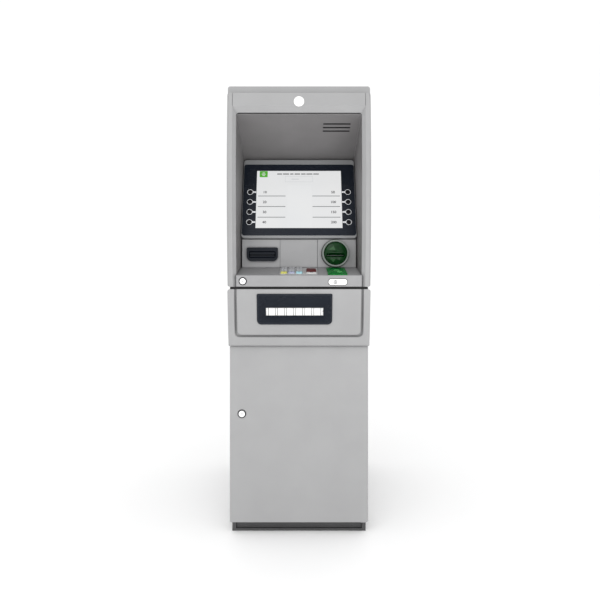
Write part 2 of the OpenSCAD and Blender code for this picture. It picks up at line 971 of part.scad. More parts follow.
module card_reader_bezel() {
    dome = 100;
    front_d = reader_front - 1;
    mouth_x = 29;
    mouth_z = [-8.7, -5.2];
    color([0.10, 0.32, 0.14])
        translate([reader_x, at_depth(front_d), reader_z])
            difference() {
                intersection() {
                    barrel(reader_r, 0, 30);
                    translate([0, dome, 0]) sphere(dome, $fn = 96);
                }
                block([-mouth_x, -1, mouth_z[0]], [mouth_x, 31, mouth_z[1]]);
                hull() {
                    block([-mouth_x - 4, -1, -14], [mouth_x + 4, 0, 2]);
                    block([-mouth_x, 12, mouth_z[0]], [mouth_x, 13, mouth_z[1]]);
                }
            }
}

module card_reader() {
    color(steel_grey)
        union() {
            block([reader_x - 36, at_depth(148), 905], [reader_x + 36, at_depth(320), 960]);
            block([reader_x - 30, at_depth(146.4), 912], [reader_x + 30, at_depth(149), 952]);
        }
}

module guide_panel() {
    length = 124;
    color([0.10, 0.45, 0.18])
        on_shelf(reader_x, 4 + length / 2)
            translate([0, 0, 0.05])
                linear_extrude(2.6)
                    rounded_rect([63, length], 4, 4);
}

module receipt_surround() {
    size = [107.9, 47.3];
    proud = 9;
    spigot = [97, 37];
    slot_size = [84, 6];
    color(navy_black)
        translate([receipt_x, at_depth(panel_depth), receipt_z])
            difference() {
                union() {
                    translate([0, -proud, 0]) plate(size, proud - 0.05, 5, 18);
                    translate([0, -1, 0]) plate(spigot, 12, 4, 8);
                }
                hull() {
                    translate([0, -proud - 1, -1]) plate([92, 24], 1, 5, 5, $fn = HULL_FN);
                    translate([0, 2, 0]) plate(slot_size, 1, 1, 1, $fn = HULL_FN);
                }
                plate(slot_size, 12, 1, 1);
            }
}

module receipt_printer() {
    roll_r = 27;
    color(steel_grey)
        block([receipt_x - 50, at_depth(152), 893], [receipt_x + 50, at_depth(310), 966]);
    color(paper_white)
        translate([receipt_x - 40, at_depth(262), 996])
            rotate([0, 90, 0])
                difference() {
                    cylinder(h = 80, r = roll_r);
                    translate([0, 0, -1]) cylinder(h = 82, r = 6);
                }
}

module audio_plate() {
    size = [60.3, 20];
    jack_r = 1.8;
    color(paper_white)
        difference() {
            union() {
                on_front(audio_x, audio_z)
                    translate([0, -1.6, 0]) plate(size, 1.5, 9.9, 9.9);
                on_front(jack_x, audio_z) barrel(7, -2.2, -0.5);
                on_front(jack_x, audio_z) barrel(5, -1.5, 12);
            }
            on_front(jack_x, audio_z) barrel(jack_r, -3, 13);
        }
}

module fascia_lock() {
    cam_from = 14;
    color(paper_white)
        on_front(fascia_lock_x, fascia_lock_z)
            union() {
                lock_plug(fascia_lock_r, cam_from + 1);
                block([-6, cam_from, -6], [30, cam_from + 4, 6]);
            }
}

module slide_rails_moving() {
    z = rail_z + [3.6, -3.6];
    front_end = at_depth(60);
    color(steel_grey)
        both_sides()
            union() {
                block([rail_x[0], front_end, z[0]], [rail_x[1], rail_y[1], z[1]]);
                block([rail_x[0], front_end, z[0]],
                      [half_w - fascia_wall, at_depth(fascia_back) - 1, z[1]]);
            }
}

// ---- assembly ----

plinth();
kick_panel();
side_panels();
rear_panel();
top_panel();
computer_core();
safe_body();
safe_door();
cash_cassettes();
note_dispenser();
lower_fascia();
dispenser_surround();
door_hinges();
slide_rails_fixed();
safe_handle();
combination_dial();
safe_bolts();
cash_shutter();
cabinet_door();
cabinet_lock();
upper_fascia();
recess_liner();
keypad_shelf();
keypad_tray();
module_panels();
display_frame();
display_bezel();
display_screen();
card_reader_ring();
card_reader_bezel();
card_reader();
guide_panel();
receipt_surround();
receipt_printer();
audio_plate();
roundel();
slide_rails_moving();
fascia_lock();
digit_key(1);  // key_1
digit_key(2);  // key_2
digit_key(3);  // key_3
digit_key(4);  // key_4
digit_key(5);  // key_5
digit_key(6);  // key_6
digit_key(7);  // key_7
digit_key(8);  // key_8
digit_key(9);  // key_9
front_row_key(0, [0.78, 0.78, 0.30]);  // key_clear
front_row_key(1, [0.62, 0.63, 0.72]);  // key_0
front_row_key(2, [0.55, 0.75, 0.78]);  // key_info
enter_key();  // key_enter
cancel_key();  // key_cancel
function_key(-1, 1);  // function_key_left_1
function_key(-1, 2);  // function_key_left_2
function_key(-1, 3);  // function_key_left_3
function_key(-1, 4);  // function_key_left_4
function_key(1, 1);  // function_key_right_1
function_key(1, 2);  // function_key_right_2
function_key(1, 3);  // function_key_right_3
function_key(1, 4);  // function_key_right_4
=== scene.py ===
"""Looks of a free-standing lobby cash machine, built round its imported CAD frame.

Metres, +Z up. The user stands on the -Y side. CAD nodes stay where the frame
puts them and get rounded edges and materials. New pieces ride on their bodies.
"""

import json
import math

import bmesh
import bpy
from mathutils import Matrix, Vector
from mathutils.bvhtree import BVHTree


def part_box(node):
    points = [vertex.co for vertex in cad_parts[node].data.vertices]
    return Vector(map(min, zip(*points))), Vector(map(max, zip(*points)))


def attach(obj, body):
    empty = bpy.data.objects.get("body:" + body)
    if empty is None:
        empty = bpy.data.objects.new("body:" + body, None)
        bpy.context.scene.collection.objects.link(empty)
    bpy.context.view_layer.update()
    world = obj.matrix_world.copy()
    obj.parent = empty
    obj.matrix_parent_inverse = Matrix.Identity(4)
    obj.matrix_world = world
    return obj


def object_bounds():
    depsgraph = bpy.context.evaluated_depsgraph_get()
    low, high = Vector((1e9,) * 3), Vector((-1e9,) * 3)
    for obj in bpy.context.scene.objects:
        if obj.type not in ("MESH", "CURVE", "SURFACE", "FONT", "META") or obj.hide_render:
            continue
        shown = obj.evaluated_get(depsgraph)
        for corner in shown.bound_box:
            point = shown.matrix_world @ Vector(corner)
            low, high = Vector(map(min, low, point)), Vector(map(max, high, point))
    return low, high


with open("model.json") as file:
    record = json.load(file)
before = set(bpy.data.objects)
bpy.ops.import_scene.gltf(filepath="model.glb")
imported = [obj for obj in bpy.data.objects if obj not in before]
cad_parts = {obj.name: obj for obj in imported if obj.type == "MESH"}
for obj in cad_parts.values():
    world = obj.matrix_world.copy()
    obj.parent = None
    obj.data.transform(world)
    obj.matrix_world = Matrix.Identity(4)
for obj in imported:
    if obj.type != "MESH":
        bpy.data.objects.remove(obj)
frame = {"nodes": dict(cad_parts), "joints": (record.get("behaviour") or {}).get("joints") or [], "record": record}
cad_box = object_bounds()

MM = 0.001
ACROSS = Vector((1, 0, 0))
TO_USER = Vector((0, -1, 0))
TO_REAR = -TO_USER

# Depths are counted from the plane of the fascias' flat front, just behind the foremost point.
DATUM_BEHIND_FRONT = 0.008
datum_y = cad_box[0].y + DATUM_BEHIND_FRONT


# ---- places, worked out from the frame ----

joints = {joint["name"]: joint for joint in frame["joints"]}
mounts = {mount["name"]: mount for mount in frame["record"]["mounts"]}


def facing(outward):
    """Turn whose Z points out of a surface and whose X runs across the machine."""
    z = Vector(outward).normalized()
    y = z.cross(ACROSS)
    return Matrix((ACROSS, y, z)).transposed().to_4x4()


def at(point, turn):
    """Local frame with its origin at a point."""
    return Matrix.Translation(Vector(point)) @ turn


def shift(x=0.0, y=0.0, z=0.0):
    """Move in millimetres."""
    return Matrix.Translation(Vector((x, y, z)) * MM)


def face_of(node, turn):
    """Local frame in the middle of a node's foremost face, seen along the turn's Z."""
    back = turn.inverted()
    local = [back @ vertex.co for vertex in frame["nodes"][node].data.vertices]
    low = [min(point[axis] for point in local) for axis in range(3)]
    high = [max(point[axis] for point in local) for axis in range(3)]
    return turn @ Matrix.Translation(((low[0] + high[0]) / 2, (low[1] + high[1]) / 2, high[2]))


upright = facing(TO_USER)
display_turn = facing(-Vector(joints["function_key_left_1_press"]["axis"]))
shelf_turn = facing(-Vector(joints["key_1_press"]["axis"]))
outlet_turn = facing(ACROSS.cross(Vector(joints["cash_shutter_slide"]["axis"])))
screen = face_of("display_screen", display_turn)


# ---- materials ----

def link(tree, source, target):
    tree.links.new(source, target)


def noise(tree, coordinates, size, detail=3.0, stretch=(1, 1, 1)):
    """Noise with features about as large as size, in metres, drawn out by stretch."""
    mapping = tree.nodes.new("ShaderNodeMapping")
    mapping.inputs["Scale"].default_value = [1 / (size * s) for s in stretch]
    texture = tree.nodes.new("ShaderNodeTexNoise")
    texture.inputs["Scale"].default_value = 1.0
    texture.inputs["Detail"].default_value = detail
    link(tree, coordinates, mapping.inputs["Vector"])
    link(tree, mapping.outputs["Vector"], texture.inputs["Vector"])
    return texture.outputs["Fac"]


def remap(tree, value, low, high, to_low, to_high):
    node = tree.nodes.new("ShaderNodeMapRange")
    for name, number in (("From Min", low), ("From Max", high), ("To Min", to_low), ("To Max", to_high)):
        node.inputs[name].default_value = number
    link(tree, value, node.inputs["Value"])
    return node.outputs["Result"]


def blend(tree, factor, first, second):
    """Mix of two colours. The first may be a socket."""
    node = tree.nodes.new("ShaderNodeMix")
    node.data_type = "RGBA"
    link(tree, factor, node.inputs["Factor"])
    if isinstance(first, bpy.types.NodeSocket):
        link(tree, first, node.inputs["A"])
    else:
        node.inputs["A"].default_value = (*first, 1)
    node.inputs["B"].default_value = (*second, 1)
    return node.outputs["Result"]


def edge_mask(tree, radius, grain):
    """1 on convex edges that are sharper than radius, broken up by a noise."""
    rounded = tree.nodes.new("ShaderNodeBevel")
    rounded.samples = 4
    rounded.inputs["Radius"].default_value = radius
    geometry = tree.nodes.new("ShaderNodeNewGeometry")
    dot = tree.nodes.new("ShaderNodeVectorMath")
    dot.operation = "DOT_PRODUCT"
    link(tree, rounded.outputs["Normal"], dot.inputs[0])
    link(tree, geometry.outputs["Normal"], dot.inputs[1])
    edge = remap(tree, dot.outputs["Value"], 0.97, 0.80, 0.0, 1.0)
    broken = tree.nodes.new("ShaderNodeMath")
    broken.operation = "MULTIPLY"
    link(tree, edge, broken.inputs[0])
    link(tree, remap(tree, grain, 0.42, 0.62, 0.0, 1.0), broken.inputs[1])
    return broken.outputs["Value"]


def crevice_mask(tree, reach):
    """Painted shade mask from ambient occlusion: 1 deep in grooves and corners that are narrower than reach, 0 in
    the open.
    """
    occlusion = tree.nodes.new("ShaderNodeAmbientOcclusion")
    occlusion.samples = 6
    occlusion.inputs["Distance"].default_value = reach
    return remap(tree, occlusion.outputs["AO"], 0.90, 0.35, 0.0, 1.0)


def surface(name, colour, roughness, metallic=0.0, mottle=0.05, patch=0.09, grain=0.8 * MM,
            depth=0.03 * MM, stretch=(1, 1, 1), worn=None, wear=0.7 * MM, coat=0.0, span=0.06,
            specular=0.5, crevice_shade=None, reach=12 * MM):
    """Procedural material: colour patches, grain with bump, uneven gloss, worn edges, painted shade in grooves."""
    material = bpy.data.materials.new(name)
    material.use_nodes = True
    tree = material.node_tree
    shader = tree.nodes["Principled BSDF"]
    shader.inputs["Metallic"].default_value = metallic
    shader.inputs["Coat Weight"].default_value = coat
    shader.inputs["Coat Roughness"].default_value = 0.12
    shader.inputs["Specular IOR Level"].default_value = specular
    coordinates = tree.nodes.new("ShaderNodeTexCoord").outputs["Object"]
    patches = noise(tree, coordinates, patch, 4.0)
    fine = noise(tree, coordinates, grain, 2.0, stretch)
    light = [min(1.0, part * (1 + mottle)) for part in colour]
    dark = [part * (1 - mottle) for part in colour]
    tint = blend(tree, remap(tree, patches, 0.3, 0.7, 0.0, 1.0), dark, light)
    speckle = [part * (1 - 1.5 * mottle) for part in colour]
    tint = blend(tree, remap(tree, fine, 0.55, 0.85, 0.0, 0.5), tint, speckle)
    if worn:
        tint = blend(tree, edge_mask(tree, wear, noise(tree, coordinates, 4 * MM)), tint, worn)
    # Painted shade: grooves and corners darkened towards the crevice_shade colour.
    if crevice_shade:
        tint = blend(tree, crevice_mask(tree, reach), tint, crevice_shade)
    link(tree, tint, shader.inputs["Base Color"])
    wiped = noise(tree, coordinates, patch / 3, 5.0, (2.5, 1, 1))
    link(tree, remap(tree, wiped, 0.3, 0.7, roughness - span, roughness + span), shader.inputs["Roughness"])
    bump = tree.nodes.new("ShaderNodeBump")
    bump.inputs["Distance"].default_value = depth
    link(tree, fine, bump.inputs["Height"])
    link(tree, bump.outputs["Normal"], shader.inputs["Normal"])
    return material


def lit_screen(name, level):
    """Pale lit panel behind glass, with its fine pixel lines."""
    material = surface(name, (0.05, 0.05, 0.05), 0.20, specular=0.35, depth=0.0)
    tree = material.node_tree
    shader = tree.nodes["Principled BSDF"]
    coordinates = tree.nodes.new("ShaderNodeTexCoord").outputs["Object"]
    lines = tree.nodes.new("ShaderNodeTexWave")
    lines.bands_direction = "Z"
    lines.inputs["Scale"].default_value = 800
    link(tree, coordinates, lines.inputs["Vector"])
    even = noise(tree, coordinates, 0.2, 1.0)
    dim = (level * 0.97, level * 0.985, level)
    glow = blend(tree, remap(tree, even, 0.3, 0.7, 0.0, 1.0), dim, (level * 1.03,) * 3)
    glow = blend(tree, remap(tree, lines.outputs["Fac"], 0.0, 1.0, 0.0, 0.25), glow,
                 (level * 0.90, level * 0.92, level * 0.94))
    link(tree, glow, shader.inputs["Emission Color"])
    shader.inputs["Emission Strength"].default_value = 1.0
    return material


def glowing(name, colour, strength):
    """Ink or light of the screen's picture."""
    material = surface(name, colour, 0.4, mottle=0.02, patch=20 * MM, depth=0.0, specular=0.2)
    shader = material.node_tree.nodes["Principled BSDF"]
    shader.inputs["Emission Color"].default_value = (*colour, 1)
    shader.inputs["Emission Strength"].default_value = strength
    return material


GREY = (0.312, 0.312, 0.315)
PAINT_WORN = (0.42, 0.42, 0.42)
# Dark grey painted as shade into grooves and corners.
PAINTED_CREVICE_SHADE = (0.10, 0.10, 0.105)
materials = {
    "body_paint": surface("body_paint", GREY, 0.45, mottle=0.025, worn=PAINT_WORN, crevice_shade=PAINTED_CREVICE_SHADE),
    # Body paint with stronger, wider painted shade, for the valley groove on the lower fascia.
    "body_paint_valley_shade": surface("body_paint_valley_shade", GREY, 0.45, mottle=0.025, worn=PAINT_WORN,
                            crevice_shade=(0.12, 0.12, 0.123), reach=24 * MM),
    "recess_paint": surface("recess_paint", (0.205, 0.198, 0.200), 0.52, mottle=0.05, worn=(0.28, 0.28, 0.28),
                            specular=0.35, crevice_shade=(0.09, 0.09, 0.092), reach=8 * MM),
    "panel_paint": surface("panel_paint", (0.283, 0.283, 0.288), 0.48, mottle=0.04, worn=PAINT_WORN,
                           crevice_shade=PAINTED_CREVICE_SHADE, reach=8 * MM),
    "frame_paint": surface("frame_paint", (0.235, 0.240, 0.245), 0.48, mottle=0.04, worn=(0.36, 0.36, 0.36),
                           crevice_shade=PAINTED_CREVICE_SHADE, reach=6 * MM),
    "plinth_paint": surface("plinth_paint", (0.05, 0.05, 0.052), 0.55, mottle=0.12, worn=(0.12, 0.12, 0.12)),
    "navy_plastic": surface("navy_plastic", (0.008, 0.011, 0.018), 0.26, mottle=0.10, specular=0.18,
                            depth=0.01 * MM, worn=(0.03, 0.035, 0.045), span=0.05),
    "dark_navy": surface("dark_navy", (0.006, 0.008, 0.013), 0.34, mottle=0.10, specular=0.10,
                         depth=0.01 * MM),
    "screen_glass": lit_screen("lit_screen", 0.71),
    "white_plastic": surface("white_plastic", (0.86, 0.86, 0.85), 0.28, mottle=0.02, coat=0.3,
                             depth=0.01 * MM),
    "green_plastic": surface("green_plastic", (0.003, 0.19, 0.030), 0.22, mottle=0.12, specular=0.25,
                             depth=0.01 * MM),
    "reader_green": surface("reader_green", (0.002, 0.030, 0.005), 0.22, mottle=0.25, patch=14 * MM,
                            specular=0.20, depth=0.01 * MM),
    # Lighter green painted as highlights on the reader's lens facets.
    "facet_highlight_green": surface("facet_highlight_green", (0.010, 0.068, 0.013), 0.22, mottle=0.2, patch=8 * MM, specular=0.3,
                           depth=0.01 * MM),
    # Pale green painted as the highlight on the guide pad.
    "pale_green_highlight": surface("pale_green_highlight", (0.10, 0.42, 0.13), 0.30, mottle=0.08, patch=8 * MM, depth=0.01 * MM),
    "steel": surface("steel", (0.55, 0.56, 0.58), 0.34, metallic=1.0, stretch=(1, 24, 1), depth=0.02 * MM),
    "module_grey": surface("module_grey", (0.085, 0.09, 0.10), 0.45, mottle=0.10, worn=(0.25, 0.25, 0.26)),
    "safe_paint": surface("safe_paint", (0.15, 0.17, 0.20), 0.40, mottle=0.07, grain=2.0 * MM,
                          depth=0.12 * MM, worn=(0.30, 0.31, 0.33)),
    "lock_face": surface("lock_face", (0.80, 0.80, 0.80), 0.22, metallic=0.6, stretch=(12, 1, 1),
                         depth=0.01 * MM),
    "dial_black": surface("dial_black", (0.02, 0.02, 0.022), 0.32, mottle=0.10, worn=(0.10, 0.10, 0.10)),
    "tray_steel": surface("tray_steel", (0.62, 0.62, 0.62), 0.36, metallic=0.7, stretch=(20, 1, 1),
                          depth=0.02 * MM),
    "key_metal": surface("key_metal", (0.50, 0.51, 0.53), 0.36, metallic=0.6, stretch=(10, 1, 1),
                         depth=0.01 * MM, worn=(0.75, 0.75, 0.75)),
    "key_yellow": surface("key_yellow", (0.56, 0.54, 0.10), 0.34, mottle=0.06, worn=(0.70, 0.70, 0.35)),
    "key_lavender": surface("key_lavender", (0.34, 0.36, 0.50), 0.34, mottle=0.06, worn=(0.55, 0.56, 0.62)),
    "key_cyan": surface("key_cyan", (0.30, 0.56, 0.62), 0.34, mottle=0.06, worn=(0.55, 0.70, 0.72)),
    "key_white": surface("key_white", (0.60, 0.60, 0.59), 0.34, mottle=0.03, worn=(0.80, 0.80, 0.79)),
    "key_red": surface("key_red", (0.085, 0.003, 0.004), 0.40, mottle=0.10, worn=(0.20, 0.03, 0.03),
                       specular=0.12),
    "key_black": surface("key_black", (0.006, 0.006, 0.008), 0.40, mottle=0.12, worn=(0.05, 0.05, 0.05),
                         specular=0.12),
    "ring_plastic": surface("ring_plastic", (0.175, 0.195, 0.18), 0.40, mottle=0.04, worn=(0.44, 0.44, 0.44),
                            crevice_shade=PAINTED_CREVICE_SHADE),
    # Black rubber; also the colour of the dark rings painted as shadows.
    "black_rubber_and_shadow": surface("black_rubber_and_shadow", (0.012, 0.012, 0.012), 0.65, mottle=0.15, grain=0.5 * MM, depth=0.05 * MM,
                      specular=0.25),
    "plated": surface("plated", (0.62, 0.62, 0.63), 0.24, metallic=0.9, mottle=0.06, depth=0.01 * MM),
    "pale_print": surface("pale_print", (0.80, 0.81, 0.83), 0.45, mottle=0.05, patch=5 * MM, depth=0.01 * MM),
    "mesh_black": surface("mesh_black", (0.006, 0.006, 0.007), 0.60, mottle=0.20, patch=4 * MM, specular=0.2),
    "paper": surface("paper", (0.74, 0.73, 0.70), 0.85, mottle=0.02, stretch=(30, 1, 1), depth=0.04 * MM,
                     specular=0.2),
    "ink": surface("ink", (0.03, 0.03, 0.035), 0.50, mottle=0.10, patch=4 * MM, depth=0.01 * MM),
    "picture_ink": glowing("picture_ink", (0.04, 0.04, 0.045), 0.1),
    "picture_line": glowing("picture_line", (0.12, 0.125, 0.13), 0.6),
    "picture_faint": glowing("picture_faint", (0.30, 0.31, 0.32), 0.8),
    "picture_pale": lit_screen("picture_pale", 0.722),
    "picture_green": glowing("picture_green", (0.055, 0.25, 0.02), 0.75),
}


# ---- CAD nodes: rounded edges and finishes ----

slot_of = {part["node"]: part["material_slot"] for part in frame["record"]["subparts"]}
SPECIAL_FINISH = {"display_frame": "frame_paint", "card_reader_bezel": "reader_green",
                  "lower_fascia": "body_paint_valley_shade", "receipt_surround": "dark_navy"}
EDGE_ROUND = 0.5 * MM
FINE_EDGES = {
    "upper_fascia": 0.25 * MM,
    "lower_fascia": 0.25 * MM,
    "top_panel": 0.2 * MM,
    "cabinet_lock": 0.2 * MM,
    "fascia_lock": 0.2 * MM,
    "combination_dial": 0.3 * MM,
    "cash_shutter": 0.3 * MM,
}


def soften(thing, width, angle=19):
    """Merged flat faces and rounded edges that don't change the size."""
    weld = thing.modifiers.new("weld", "WELD")
    weld.merge_threshold = 0.002 * MM
    flat = thing.modifiers.new("flat", "DECIMATE")
    flat.decimate_type = "DISSOLVE"
    flat.angle_limit = math.radians(0.05)
    bevel = thing.modifiers.new("edges", "BEVEL")
    bevel.width = width
    bevel.segments = 3
    bevel.limit_method = "ANGLE"
    bevel.angle_limit = math.radians(angle)
    bevel.harden_normals = True
    bevel.use_clamp_overlap = False


for node, thing in frame["nodes"].items():
    thing.data.materials.clear()
    thing.data.materials.append(materials[SPECIAL_FINISH.get(node, slot_of[node])])
    thing.data.attributes.remove(thing.data.attributes["custom_normal"])
    thing.data.shade_smooth()
    soften(thing, FINE_EDGES.get(node, EDGE_ROUND))


# ---- building new pieces ----

def piece(name, mesh, body, material, place=Matrix.Identity(4), edges=0.15 * MM, crease=35):
    """New object from a bmesh, in its place, on its body. Without rounded edges it is flat shaded."""
    bmesh.ops.transform(mesh, matrix=place, verts=mesh.verts)
    bmesh.ops.recalc_face_normals(mesh, faces=mesh.faces)
    data = bpy.data.meshes.new(name)
    mesh.to_mesh(data)
    mesh.free()
    data.materials.append(materials[material])
    thing = bpy.data.objects.new(name, data)
    bpy.context.scene.collection.objects.link(thing)
    if edges:
        data.shade_smooth()
        bevel = thing.modifiers.new("edges", "BEVEL")
        bevel.width = edges
        bevel.segments = 2
        bevel.limit_method = "ANGLE"
        bevel.angle_limit = math.radians(crease)
        bevel.harden_normals = True
    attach(thing, body)


def prism(outline, low, high, place=Matrix.Identity(4), into=None):
    """Closed prism on an outline in millimetres, from low to high along Z."""
    mesh = into or bmesh.new()
    bottom = [mesh.verts.new(place @ (Vector((x, y, low)) * MM)) for x, y in outline]
    top = [mesh.verts.new(place @ (Vector((x, y, high)) * MM)) for x, y in outline]
    mesh.faces.new(bottom[::-1])
    mesh.faces.new(top)
    for n in range(len(outline)):
        after = (n + 1) % len(outline)
        mesh.faces.new((bottom[n], bottom[after], top[after], top[n]))
    return mesh


def lathe(profile, place=Matrix.Identity(4), into=None, steps=48):
    """Closed ring made by turning a closed profile of radius and height round Z."""
    mesh = into or bmesh.new()
    turns = [2 * math.pi * n / steps for n in range(steps)]
    rings = [
        [mesh.verts.new(place @ (Vector((r * math.cos(a), r * math.sin(a), z)) * MM)) for a in turns]
        for r, z in profile
    ]
    for n, ring in enumerate(rings):
        other = rings[(n + 1) % len(rings)]
        for step in range(steps):
            after = (step + 1) % steps
            mesh.faces.new((ring[step], ring[after], other[after], other[step]))
    return mesh


def rounded(width, height, radius, x=0.0, y=0.0, steps=5):
    """Outline of a rectangle with rounded corners, about x and y."""
    points = []
    for quarter, (sx, sy) in enumerate(((1, 1), (-1, 1), (-1, -1), (1, -1))):
        for step in range(steps + 1):
            a = math.radians(90 * quarter + 90 * step / steps)
            points.append((x + sx * (width / 2 - radius) + radius * math.cos(a),
                           y + sy * (height / 2 - radius) + radius * math.sin(a)))
    return points


def frame_of_bars(width, height, line):
    """Four bars round an empty rectangle, as outlines."""
    half_w, half_h = (width - line) / 2, (height - line) / 2
    return [
        rounded(width, line, line * 0.2, 0, half_h),
        rounded(width, line, line * 0.2, 0, -half_h),
        rounded(line, height - 2 * line, line * 0.2, half_w, 0),
        rounded(line, height - 2 * line, line * 0.2, -half_w, 0),
    ]


def figures(text, size, bold=0.0):
    """Mesh of plain numbers, centred, so high and thickened by bold, in millimetres."""
    curve = bpy.data.curves.new("figures", "FONT")
    curve.body = text
    curve.size = size * MM * 1.4
    curve.extrude = 0.05 * MM
    curve.offset = bold * MM
    curve.align_x = "CENTER"
    curve.align_y = "CENTER"
    helper = bpy.data.objects.new("figures", curve)
    bpy.context.scene.collection.objects.link(helper)
    bpy.context.view_layer.update()
    made = bmesh.new()
    made.from_mesh(helper.to_mesh())
    bpy.data.objects.remove(helper)
    bpy.data.curves.remove(curve)
    bmesh.ops.remove_doubles(made, verts=made.verts, dist=0.001 * MM)
    return made


def merge(into, other, place):
    """Moves one bmesh to its place and adds it to another."""
    bmesh.ops.transform(other, matrix=place, verts=other.verts)
    data = bpy.data.meshes.new("part")
    other.to_mesh(data)
    other.free()
    into.from_mesh(data)
    bpy.data.meshes.remove(data)


# ---- function keys: collars with a tail that points at the screen ----

def in_display(place):
    """Middle of a local frame, along the display's own axes."""
    return display_turn.inverted() @ place.translation


bezel_z = in_display(face_of("display_bezel", display_turn)).z


def on_bezel(node):
    """Local frame on the bezel at a function key's middle."""
    local = in_display(face_of(node, display_turn))
    return display_turn @ Matrix.Translation((local.x, local.y, bezel_z))


COLLAR_R = 10.8
COLLAR_BORE = 8.9
TAIL_END = 21.6
for side, sign in (("left", 1), ("right", -1)):
    for n in range(1, 5):
        node = f"function_key_{side}_{n}"
        collar = lathe([(COLLAR_BORE, 0.05), (COLLAR_BORE, 0.9), (COLLAR_BORE + 0.6, 1.3),
                        (COLLAR_R - 0.5, 1.3), (COLLAR_R, 0.8), (COLLAR_R, 0.05)])
        tail = [(sign * x, y) for x, y in
                ((COLLAR_R - 1.0, 4.2), (COLLAR_R - 0.4, -4.0), (15.0, -2.6), (TAIL_END, -3.2),
                 (TAIL_END, 3.0), (15.0, 2.6))]
        prism(tail[::sign], 0.05, 0.9, into=collar)
        piece(f"collar_{side}_{n}", collar, "fascia_unit", "pale_print", on_bezel(node))


# ---- the screen's picture ----

def picture(name, outlines, material, high=0.12):
    """Thin flat shapes on the screen."""
    mesh = bmesh.new()
    for outline in outlines:
        prism(outline, 0.02, high, into=mesh)
    piece(name, mesh, "fascia_unit", material, screen, edges=0)


SCREEN_W, SCREEN_H = 304, 228
key_rows = [
    (in_display(face_of(f"function_key_left_{n}", display_turn)) - in_display(screen)).y / MM
    for n in range(1, 5)
]
pitch = key_rows[1] - key_rows[0]
title_y = SCREEN_H / 2 - 13
# Plain bars in place of the title's words: middle and width.
words = [(-70, 18), (-47, 22), (-26, 12), (-6, 20), (16, 16), (38, 22), (62, 20)]
picture("picture_title", [rounded(w, 3.7, 0.8, x, title_y) for x, w in words], "picture_ink")
picture("picture_column", [rounded(86, 166, 2, 2, -SCREEN_H / 2 + 85)], "picture_pale", 0.16)
box_y = title_y - 21
picture("picture_box", [[(x, y + box_y) for x, y in bar] for bar in frame_of_bars(100, 23, 0.8)],
        "picture_faint")
picture("picture_entry", [rounded(26, 2.6, 0.8, -14, box_y)], "picture_faint")
picture("picture_rules", [rounded(98, 2.6, 0.3, sign * 97, key_rows[0] + pitch * (0.5 + 1.06 * n))
                          for sign in (-1, 1) for n in range(3)], "picture_line")
badge_x = -SCREEN_W / 2 + 24
badge_y = SCREEN_H / 2 - 13.5
picture("picture_badge", [rounded(29, 25, 2.5, badge_x, badge_y)], "picture_green")
picture("picture_badge_bars", [rounded(w, 2.4, 1.0, badge_x, badge_y + y)
                               for w, y in ((9, 5), (15, 0), (9, -5))], "picture_pale", 0.2)

amounts = bmesh.new()
for side, sign in ((("40", "30", "20", "10"), -1), (("200", "150", "100", "50"), 1)):
    for amount, y in zip(side, key_rows):
        merge(amounts, figures(amount, 9.5, 0.25), shift(sign * 122, y, 0.1))
piece("picture_amounts", amounts, "fascia_unit", "picture_ink", screen, edges=0)


# ---- keypad: numbers and plain signs on the keys ----

TOUCH = 0.06
for digit in range(10):
    piece(f"number_{digit}", figures(str(digit), 8), f"key_{digit}", "ink",
          face_of(f"key_{digit}", shelf_turn) @ shift(0, 0, TOUCH), edges=0)


def sign_of(bars):
    """Plain sign made of slanted bars: x, y, length, angle."""
    mesh = bmesh.new()
    for x, y, length, angle in bars:
        turn = shift(x, y) @ Matrix.Rotation(math.radians(angle), 4, "Z")
        prism(rounded(length, 1.5, 0.6), 0.01, 0.16, place=turn, into=mesh)
    return mesh


key_signs = {
    "key_clear": [(0, 2.2, 6, 40), (0, -1.5, 6, -40)],
    "key_info": [(0, 2.4, 9, 0), (0, -2.4, 9, 0)],
    "key_cancel": [(0, 0, 13, 45), (0, 0, 13, -45)],
}
for node, bars in key_signs.items():
    piece(f"sign_{node[4:]}", sign_of(bars), node, "ink", face_of(node, shelf_turn), edges=0)
piece("sign_enter", lathe([(4.2, 0.01), (4.2, 0.16), (5.7, 0.16), (5.7, 0.01)]), "key_enter",
      "ink", face_of("key_enter", shelf_turn), edges=0)


# ---- cash shutter: dark lines in its grooves ----

shutter_low, shutter_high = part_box("cash_shutter")
shutter = face_of("cash_shutter", outlet_turn)
CELLS = 6
CELL_W, LINE_W, LINE_H = 21.5, 1.5, 31
END_MARGIN = 6
cell_pitch = ((shutter_high.x - shutter_low.x) / MM - END_MARGIN) / (CELLS + 0.31)
lines = bmesh.new()
for cell in range(CELLS):
    for side in (-1, 1):
        x = (cell - (CELLS - 1) / 2) * cell_pitch + side * (CELL_W + LINE_W) / 2
        prism(rounded(LINE_W - 0.3, LINE_H, 0.3, x), -0.95, -0.45, into=lines)
piece("shutter_lines", lines, "cash_shutter", "ink", shutter, edges=0)


# ---- locks and headphone jack ----

def collar(name, body, place, bore, outer, proud):
    """Dark ring round a lock."""
    profile = [(bore, 0.05), (bore, proud - 0.3), (bore + 0.5, proud), (outer - 0.9, proud),
               (outer, proud - 1.0), (outer, 0.05)]
    piece(name, lathe(profile), body, "dial_black", place)


def joint_place(name):
    """Local frame on a lock's face, outwards."""
    joint = joints[name]
    outward = Vector(joint["axis"])
    outward = -outward if outward.y > 0 else outward
    return at(joint["pos_m"], facing(outward))


